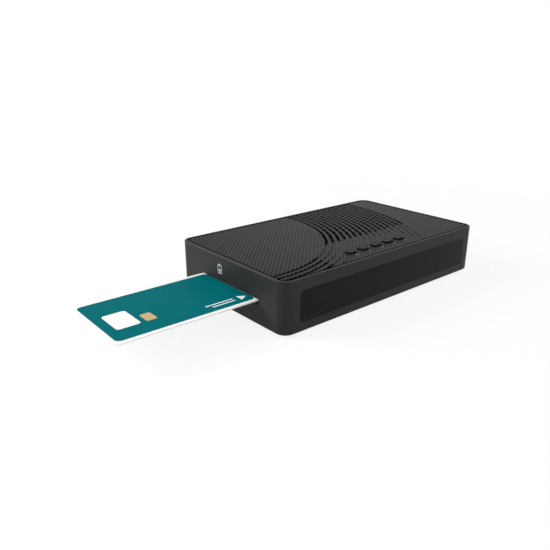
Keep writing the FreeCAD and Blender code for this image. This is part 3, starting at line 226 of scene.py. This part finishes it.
class Finish:
    """A material on one Principled shader, with helpers for grain, mottling, painted shade along ribs and a
    painted shade border.
    """

    def __init__(self, name, colour, roughness, metallic=0.0, specular=0.5, coat=0.0):
        self.mat = bpy.data.materials.new(name)
        self.mat.use_nodes = True
        self.tree = self.mat.node_tree
        self.shader = self.tree.nodes["Principled BSDF"]
        self.shader.inputs["Base Color"].default_value = (*colour, 1)
        self.shader.inputs["Roughness"].default_value = roughness
        self.shader.inputs["Metallic"].default_value = metallic
        self.shader.inputs["Specular IOR Level"].default_value = specular
        self.shader.inputs["Coat Weight"].default_value = coat
        self.shader.inputs["Coat Roughness"].default_value = 0.08
        self.colour = colour
        self.roughness = roughness

    def coordinates(self, stretch=(1, 1, 1)):
        place = self.tree.nodes.new("ShaderNodeTexCoord")
        mapping = self.tree.nodes.new("ShaderNodeMapping")
        mapping.inputs["Scale"].default_value = stretch
        self.tree.links.new(place.outputs["Object"], mapping.inputs["Vector"])
        return mapping.outputs["Vector"]

    def noise(self, per_metre, detail, stretch=(1, 1, 1)):
        noise = self.tree.nodes.new("ShaderNodeTexNoise")
        noise.inputs["Scale"].default_value = per_metre
        noise.inputs["Detail"].default_value = detail
        self.tree.links.new(self.coordinates(stretch), noise.inputs["Vector"])
        return noise.outputs["Fac"]

    def ramp(self, value, low, high, start, end):
        ramp = self.tree.nodes.new("ShaderNodeValToRGB")
        ramp.color_ramp.elements[0].position = start
        ramp.color_ramp.elements[0].color = (*low, 1)
        ramp.color_ramp.elements[1].position = end
        ramp.color_ramp.elements[1].color = (*high, 1)
        self.tree.links.new(value, ramp.inputs["Fac"])
        return ramp.outputs["Color"]

    def paint(self, colour):
        self.tree.links.new(colour, self.shader.inputs["Base Color"])
        return self

    def paint_over(self, under, share, over):
        """The base colour: one colour, with another over it by a share from 0 to 1."""
        mix = self.tree.nodes.new("ShaderNodeMix")
        mix.data_type = "RGBA"
        self.tree.links.new(share, mix.inputs["Factor"])
        self.tree.links.new(under, mix.inputs[6])
        mix.inputs[7].default_value = (*over, 1)
        return self.paint(mix.outputs[2])

    def vector_step(self, operation, value, operand=(0, 0, 0)):
        step = self.tree.nodes.new("ShaderNodeVectorMath")
        step.operation = operation
        self.tree.links.new(value, step.inputs[0])
        step.inputs[1].default_value = operand
        return step.outputs["Value" if operation in ("LENGTH", "DOT_PRODUCT") else "Vector"]

    def grain(self, per_metre, depth, strength=1.0, stretch=(1, 1, 1)):
        """Fine relief all over, such as the spark grain of a moulding or the marks of a brush."""
        bump = self.tree.nodes.new("ShaderNodeBump")
        bump.inputs["Strength"].default_value = strength
        bump.inputs["Distance"].default_value = depth
        self.tree.links.new(self.noise(per_metre, 2.0, stretch), bump.inputs["Height"])
        self.tree.links.new(bump.outputs["Normal"], self.shader.inputs["Normal"])
        return self

    def mottle(self, per_metre, share, coloured=True):
        """Slight unevenness of gloss, and of colour too unless something else colours the surface."""
        value = self.noise(per_metre, 4.0)
        if coloured:
            low = tuple(c * (1 - share) for c in self.colour)
            high = tuple(min(1, c * (1 + share)) for c in self.colour)
            self.paint(self.ramp(value, low, high, 0.3, 0.7))
        spread = self.tree.nodes.new("ShaderNodeMapRange")
        spread.inputs["To Min"].default_value = self.roughness * (1 - share)
        spread.inputs["To Max"].default_value = min(1, self.roughness * (1 + share))
        self.tree.links.new(value, spread.inputs["Value"])
        self.tree.links.new(spread.outputs["Result"], self.shader.inputs["Roughness"])
        return self

    def ribs(self, share):
        """Painted shade and highlight: darker valleys between the ribs, where shade gathers, and lighter
        bands beside them.
        """
        across = (math.sin(RIB_HEADING) / RIB_PITCH, -math.cos(RIB_HEADING) / RIB_PITCH, 0)
        phase = self.tree.nodes.new("ShaderNodeMath")
        phase.operation = "PINGPONG"
        phase.inputs[1].default_value = 0.5
        self.tree.links.new(self.vector_step("DOT_PRODUCT", self.coordinates(), across), phase.inputs[0])
        high = tuple(c * (1 + share) for c in self.colour)
        low = tuple(c * (1 - share) for c in self.colour)
        return self.paint(self.ramp(phase.outputs[0], high, low, 0.1, 0.4))

    def paint_gap_shade(self, low, high, corner, width):
        """Painted shade: black round the border of a rounded rectangle, where the gap that the piece sits in
        falls into shade.
        """
        middle = ((low[0] + high[0]) / 2, (low[1] + high[1]) / 2, 0)
        reach = ((high[0] - low[0]) / 2 - corner, (high[1] - low[1]) / 2 - corner, 1)
        spot = self.vector_step("SUBTRACT", self.coordinates(), middle)
        past = self.vector_step("SUBTRACT", self.vector_step("ABSOLUTE", spot), reach)
        out = self.vector_step("LENGTH", self.vector_step("MAXIMUM", past))
        share = self.tree.nodes.new("ShaderNodeMapRange")
        share.inputs["From Min"].default_value = corner - width
        share.inputs["From Max"].default_value = corner - width * 0.8
        self.tree.links.new(out, share.inputs["Value"])
        under = self.shader.inputs["Base Color"].links[0].from_socket
        return self.paint_over(under, share.outputs["Result"], (0.002, 0.002, 0.002))


def make_board_finish():
    """Green solder mask over copper tracks, with bare round pads."""
    mask, over_copper, bare = (0.012, 0.09, 0.035), (0.02, 0.14, 0.05), (0.55, 0.5, 0.35)
    finish = Finish("board", mask, 0.35, coat=0.4)
    cells = finish.tree.nodes.new("ShaderNodeTexVoronoi")
    cells.inputs["Scale"].default_value = 300
    finish.tree.links.new(finish.coordinates(), cells.inputs["Vector"])
    tracks = finish.ramp(finish.noise(260, 0.0, (1, 3, 1)), mask, over_copper, 0.49, 0.51)
    pads = finish.ramp(cells.outputs["Distance"], (1, 1, 1), (0, 0, 0), 0.1, 0.12)
    return finish.paint_over(tracks, pads, bare)


BLACK = (0.021, 0.021, 0.0214)
RIBBED = (0.0225, 0.0225, 0.0228)
# Name: colour, roughness and further shader values, then mottling and grain
FINISHES = {
    "case": (BLACK, 0.4, {"specular": 0.1}, (60, 0.08), (5200, 0.00002, 0.4)),
    "plate": (RIBBED, 0.38, {"specular": 0.025}, (60, 0.08, False), (6000, 0.00001, 0.3)),
    "key": (RIBBED, 0.38, {"specular": 0.025}, (60, 0.08, False), (6000, 0.00001, 0.3)),
    # Painted shade: near black for the walls of slots, gaps and key sides, where shade falls
    "painted_shade_wall": ((0.004, 0.004, 0.004), 0.7, {"specular": 0.03}, (60, 0.1), None),
    "window": ((0.0062, 0.0066, 0.0064), 0.1, {"specular": 0.07}, (40, 0.1), None),
    "cover": (BLACK, 0.6, {"specular": 0.2}, (60, 0.1), (3000, 0.00004, 0.7)),
    "rubber": ((0.015, 0.015, 0.015), 0.85, {"specular": 0.2}, (200, 0.15), (4000, 0.00004)),
    "steel": ((0.55, 0.55, 0.56), 0.32, {"metallic": 1.0}, (300, 0.12), (900, 0.00001, 0.3, (1, 1, 8))),
    "panel": ((0.02, 0.02, 0.02), 0.55, {"specular": 0.4}, (80, 0.1), (4000, 0.00003, 0.6)),
    "chip": ((0.02, 0.02, 0.021), 0.6, {}, (300, 0.2), (5000, 0.00002, 0.5)),
    "sink": ((0.42, 0.42, 0.44), 0.4, {"metallic": 1.0}, (200, 0.1), (700, 0.00001, 0.3, (1, 12, 1))),
    "can": ((0.6, 0.6, 0.58), 0.3, {"metallic": 1.0}, (150, 0.1), (800, 0.00001, 0.3, (10, 1, 1))),
    "connector": ((0.68, 0.66, 0.6), 0.25, {"metallic": 1.0}, (400, 0.1), (900, 0.00001, 0.2)),
    "insulator": ((0.75, 0.75, 0.72), 0.45, {}, (300, 0.05), (3000, 0.00001, 0.3)),
    "gold": ((0.8, 0.55, 0.2), 0.25, {"metallic": 1.0}, (500, 0.08), (2500, 0.000005, 0.3)),
    "socket": ((0.018, 0.018, 0.018), 0.45, {}, (200, 0.1), (4500, 0.00002, 0.5)),
    "capacitor": ((0.03, 0.03, 0.06), 0.3, {"coat": 0.3}, (200, 0.1), None),
    "card": ((0.8, 0.8, 0.79), 0.4, {"specular": 0.15}, (80, 0.02), (3000, 0.000003, 0.2)),
    "lens": ((0.05, 0.005, 0.005), 0.1, {"coat": 0.5}, (200, 0.1), None),
    "plunger": ((0.6, 0.6, 0.57), 0.5, {}, (300, 0.05), (4000, 0.00001, 0.3)),
    "print_teal": ((0.0, 0.12, 0.134), 0.5, {"specular": 0.012}, (60, 0.04), None),
    "print_white": ((0.82, 0.82, 0.81), 0.4, {"specular": 0.1}, (90, 0.02), None),
    "print_gold": ((0.5, 0.36, 0.14), 0.35, {"metallic": 0.4}, (500, 0.1), None),
    "ink": ((0.6, 0.6, 0.61), 0.5, {"specular": 0.2}, (400, 0.05), None),
    "ink_dim": ((0.2, 0.2, 0.2), 0.5, {"specular": 0.2}, (400, 0.05), None),
}


def make_finishes():
    """The materials: one for each of the record's slots, and those of the prints."""
    made = {"board": make_board_finish()}
    for name, (colour, roughness, more, mottling, grain) in FINISHES.items():
        made[name] = Finish(name, colour, roughness, **more).mottle(*mottling)
        if grain:
            made[name].grain(*grain)
    for name in ("plate", "key"):
        # Painted shade and highlight along the ribs of the plate and keys
        made[name].ribs(PAINTED_RIB_SHADE)
    # Painted shade round the plate's border, in the gap to the rim
    made["plate"].paint_gap_shade(*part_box("top_plate"), PLATE_CORNER, PLATE_PAINTED_SHADE)
    return {name: finish.mat for name, finish in made.items()}


def dress(piece, finish):
    piece.data.materials.clear()
    piece.data.materials.append(finishes[finish])


def new_piece(name, mesh, body, finish):
    piece = bpy.data.objects.new(name, mesh)
    bpy.context.scene.collection.objects.link(piece)
    dress(piece, finish)
    weighted = piece.modifiers.new("weighted", "WEIGHTED_NORMAL")
    weighted.keep_sharp = True
    weighted.weight = 100
    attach(piece, body)
    return piece


def welded(node):
    """A node's mesh with its corners joined up."""
    bm = bmesh.new()
    bm.from_mesh(nodes[node].data)
    bmesh.ops.remove_doubles(bm, verts=bm.verts, dist=WELD)
    return bm


def finished(bm, name, crease=30):
    """A mesh that shades smoothly, except over edges sharper than the crease angle."""
    bmesh.ops.recalc_face_normals(bm, faces=bm.faces)
    mesh = bpy.data.meshes.new(name)
    bm.to_mesh(mesh)
    bm.free()
    if "custom_normal" in mesh.attributes:
        mesh.attributes.remove(mesh.attributes["custom_normal"])
    mesh.polygons.foreach_set("use_smooth", [True] * len(mesh.polygons))
    mesh.set_sharp_from_angle(angle=math.radians(crease))
    return mesh


def stand_in(node, name, bm, finish, body="receiver", crease=30):
    """A new piece in place of a node."""
    piece = new_piece(name, finished(bm, name, crease), body, finish)
    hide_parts(node)
    return piece


def add_ribs(bm, level):
    """Cut the faces at one level along the crests and valleys of slanting ribs, and raise the crests."""
    across = Vector((math.sin(RIB_HEADING), -math.cos(RIB_HEADING), 0))
    near = 0.004 * MM
    tops = [v for v in bm.verts if abs(v.co.z - level) < near]
    reach = [v.co.dot(across) for v in tops]
    faces = {f for v in tops for f in v.link_faces}
    edges = {e for f in faces for e in f.edges}
    corners = {v for f in faces for v in f.verts}
    geometry = [*faces, *edges, *corners]
    step = RIB_PITCH / 2
    for index in range(math.ceil(min(reach) / step), math.floor(max(reach) / step) + 1):
        spot = across * index * step
        cut = bmesh.ops.bisect_plane(bm, geom=geometry, dist=near, plane_co=spot, plane_no=across)
        geometry = cut["geom"]
    for v in bm.verts:
        if abs(v.co.z - level) < near:
            phase = (v.co.dot(across) / RIB_PITCH) % 1
            v.co.z += RIB_VALLEY + (RIB_CREST - RIB_VALLEY) * (1 - abs(2 * phase - 1))


def make_ribbed(node, name, finish, body):
    """A node with ribs over its top, and painted shade on the walls down in its slots and gaps."""
    bm = welded(node)
    add_ribs(bm, CASE_HIGH[2] if node == "top_plate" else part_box(node)[1][2])
    piece = stand_in(node, name, bm, finish, body, RIB_CREASE)
    piece.data.materials.append(finishes["painted_shade_wall"])
    # Faces that are not turned up take the painted shade of the walls
    for polygon in piece.data.polygons:
        polygon.material_index = int(polygon.normal.z < 0.5)


def make_top():
    make_ribbed("top_plate", "ribbed_top", "plate", "receiver")
    for key in KEYS:
        make_ribbed(f"key_{key}", f"ribbed_key_{key}", "key", f"{key}_key")


def make_thread():
    """The aerial connector, turned from rings. Each has a radius, a place, and 1 where the thread is."""
    low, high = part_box("lnb_connector")
    middle = Vector(((low[0] + high[0]) / 2, 0, (low[2] + high[2]) / 2))
    nut_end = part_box("lnb_nut")[1][1] + 0.1 * MM
    panel_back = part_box("rear_panel")[0][1]
    insulator_low, insulator_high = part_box("lnb_insulator")
    flange = (high[0] - low[0]) / 2
    bore = (insulator_high[0] - insulator_low[0]) / 2
    rings = [
        (0, low[1], 0),
        (flange, low[1], 0),
        (flange, panel_back, 0),
        (SHOULDER_RADIUS, panel_back, 0),
        (SHOULDER_RADIUS, nut_end, 0),
        (ROOT_RADIUS, nut_end, 0),
    ]
    thread_end = high[1] - THREAD_END
    rows = round((thread_end - nut_end) / THREAD_PITCH * THREAD_ROWS)
    rings += [(BARREL_RADIUS, nut_end + (thread_end - nut_end) * i / rows, 1) for i in range(rows + 1)]
    rings += [
        (ROOT_RADIUS, high[1], 0),
        (bore, high[1], 0),
        (bore, insulator_low[1], 0),
        (0, insulator_low[1], 0),
    ]
    bm = bmesh.new()
    grid = []
    for radius, y, threaded in rings:
        ring = []
        for i in range(THREAD_AROUND):
            angle = 2 * math.pi * i / THREAD_AROUND
            dip = abs(2 * ((y / THREAD_PITCH - i / THREAD_AROUND) % 1) - 1) * threaded
            reach = radius - dip * (BARREL_RADIUS - ROOT_RADIUS)
            ring.append(bm.verts.new(middle + Vector((reach * math.cos(angle), y, reach * math.sin(angle)))))
        grid.append(ring)
    for inner, outer in zip(grid, grid[1:]):
        for i in range(THREAD_AROUND):
            after = (i + 1) % THREAD_AROUND
            bm.faces.new([inner[i], inner[after], outer[after], outer[i]])
    bmesh.ops.remove_doubles(bm, verts=bm.verts, dist=0.001 * MM)
    bmesh.ops.dissolve_degenerate(bm, edges=bm.edges, dist=0.001 * MM)
    stand_in("lnb_connector", "threaded_connector", bm, "connector", crease=35)


def arc_points(centre, radius, start, end, count=24):
    angles = [math.radians(start + (end - start) * i / (count - 1)) for i in range(count)]
    return [(centre[0] + radius * math.cos(a), centre[1] + radius * math.sin(a)) for a in angles]


def rounded_points(low, high, radius, count):
    spots = []
    corners = ((high[0], high[1]), (low[0], high[1]), (low[0], low[1]), (high[0], low[1]))
    for corner, (x, y) in enumerate(corners):
        inward = (-1 if x == high[0] else 1, -1 if y == high[1] else 1)
        centre = (x + inward[0] * radius, y + inward[1] * radius)
        spots += arc_points(centre, radius, 90 * corner, 90 * corner + 90, count)
    return spots


def stroke(path, width, closed=False):
    """The four-cornered pieces of a line of even width along a path. Sharp corners are cut short."""
    count = len(path)
    sides = []
    for i in range(count):
        before = Vector(path[i - 1] if i or closed else path[i])
        after = Vector(path[(i + 1) % count] if i + 1 < count or closed else path[i])
        here = Vector(path[i])
        ahead = [d.normalized() for d in (here - before, after - here) if d.length > 0]
        along = sum(ahead, Vector((0, 0))).normalized()
        reach = width / 2 / max(0.4, along.dot(ahead[0]))
        normal = Vector((-along.y, along.x)) * reach
        sides.append((here + normal, here - normal))
    spans = range(count if closed else count - 1)
    pairs = [(sides[i], sides[(i + 1) % count]) for i in spans]
    return [[one[0], one[1], two[1], two[0]] for one, two in pairs]


def printed(name, outlines, place, finish, body, thickness=PRINT_HEIGHT):
    """Flat closed shapes of a print's thickness. place turns a point of the print into the frame."""
    bm = bmesh.new()
    for outline in outlines:
        face = bm.faces.new([bm.verts.new((p[0], p[1], 0)) for p in outline])
        face.normal_update()
        if face.normal.z < 0:
            face.normal_flip()
    bmesh.ops.remove_doubles(bm, verts=bm.verts, dist=WELD)
    raised = bmesh.ops.extrude_face_region(bm, geom=bm.faces[:])
    for v in raised["geom"]:
        if isinstance(v, bmesh.types.BMVert):
            v.co.z += thickness
    bmesh.ops.transform(bm, matrix=place, verts=bm.verts)
    return new_piece(name, finished(bm, name), body, finish)


def scaled(outlines, size, centre):
    return [[(centre[0] + p[0] * size, centre[1] + p[1] * size) for p in outline] for outline in outlines]


def legend_shapes():
    """Plain signs for the keys, each about two units wide."""
    arm, half = 0.7, LEGEND_BAR / 2
    minus = stroke([(-arm, 0), (arm, 0)], LEGEND_BAR)
    quarter = [(half, half), (half, arm), (-half, arm)]
    plus = []
    for _ in range(4):
        plus += quarter
        quarter = [(-y, x) for x, y in quarter]
    down = stroke([(-0.8, 0.4), (0, -0.4), (0.8, 0.4)], LEGEND_BAR)
    up = stroke([(-0.8, -0.4), (0, 0.4), (0.8, -0.4)], LEGEND_BAR)
    ring = stroke(arc_points((0, 0), 0.75, 125, 415), LEGEND_BAR)
    standby = ring + stroke([(0, 0.15), (0, 1.0)], LEGEND_BAR)
    return dict(zip(KEYS, (standby, minus, [plus], down, up)))


def make_legends():
    """A sign on the plate in front of each key, as high as the ribs that it stands among."""
    place = Matrix.Translation((0, 0, CASE_HIGH[2] + RIB_VALLEY))
    rib_height = RIB_CREST - RIB_VALLEY
    for key, shape in legend_shapes().items():
        low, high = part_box(f"key_{key}")
        centre = ((low[0] + high[0]) / 2, (low[1] + high[1]) / 2 - LEGEND_AHEAD)
        outlines = scaled(shape, LEGEND_SIZE, centre)
        printed(f"legend_{key}", outlines, place, "ink_dim", "receiver", rib_height)


def make_side_sign():
    """A plain outline of a card with an arrow, above the card slot."""
    outline = stroke(rounded_points((-1.7, -2.6), (1.7, 2.2), 0.5, 5), SIDE_SIGN_LINE, closed=True)
    arrow = [[(-1.0, 3.0), (1.0, 3.0), (0, 1.4)]]
    chip = [[(-0.7, -1.6), (0.7, -1.6), (0.7, -0.3), (-0.7, -0.3)]]
    middle = Vector((CASE_LOW[0], SIDE_SIGN_Y, SIDE_SIGN_Z))
    turn = Matrix(((0, 0, -1), (-1, 0, 0), (0, 1, 0))).to_4x4()
    place = Matrix.Translation(middle) @ turn
    printed("side_sign", scaled(outline + arrow + chip, MM, (0, 0)), place, "ink", "receiver")


def card_patch(name, low, high, corner, place, finish):
    """A rounded patch, by its corners in millimetres from the card's own lowest corner."""
    near = (CARD_LOW[0] + low[0] * MM, CARD_LOW[1] + low[1] * MM)
    far = (CARD_LOW[0] + high[0] * MM, CARD_LOW[1] + high[1] * MM)
    printed(name, [rounded_points(near, far, corner * MM, 6)], place, finish, "card")


def make_card():
    """White card with a teal field, an arrow at the end that goes in, and two bare patches."""
    stand_in("smart_card", "card_core", welded("smart_card"), "card", "card")
    top = CARD_HIGH[2]
    near = (CARD_LOW[0] + CARD_EDGE, CARD_LOW[1] + CARD_EDGE)
    far = (CARD_HIGH[0] - CARD_EDGE, CARD_HIGH[1] - CARD_EDGE)
    field = [rounded_points(near, far, CARD_FIELD_CORNER, 10)]
    printed("card_field", field, Matrix.Translation((0, 0, top)), "print_teal", "card")
    over = Matrix.Translation((0, 0, top + PRINT_HEIGHT))
    front = CARD_HIGH[0]
    arrow_y = CARD_LOW[1] + CARD_ARROW_Y
    signs = [[(front - back * MM, arrow_y + side * MM) for back, side in ((9.2, -3.0), (4.6, 0), (9.2, 3.0))]]
    for reach, rise in ((30, 1.3), (27, -1.3)):
        bar = [(front - back * MM, arrow_y + rise * MM) for back in (reach, 12.5)]
        signs += stroke(bar, 0.9 * MM)
    printed("card_arrow", signs, over, "print_white", "card")
    card_patch("card_patch", (8, 14), (21, 33), 1.6, over, "print_white")
    card_patch("card_foil", (24, 14), (30, 23), 1.2, over, "print_gold")


def dress_nodes():
    """Every node gets its slot's finish."""
    slots = {entry["node"]: entry["material_slot"] for entry in frame["record"]["subparts"]}
    for name, node in nodes.items():
        dress(node, slots[name])


finishes = make_finishes()
make_camera()
make_lights()
make_world()
make_floor()
dress_nodes()
make_top()
make_thread()
make_legends()
make_side_sign()
make_card()
bpy.context.scene.view_settings.view_transform = "Standard"
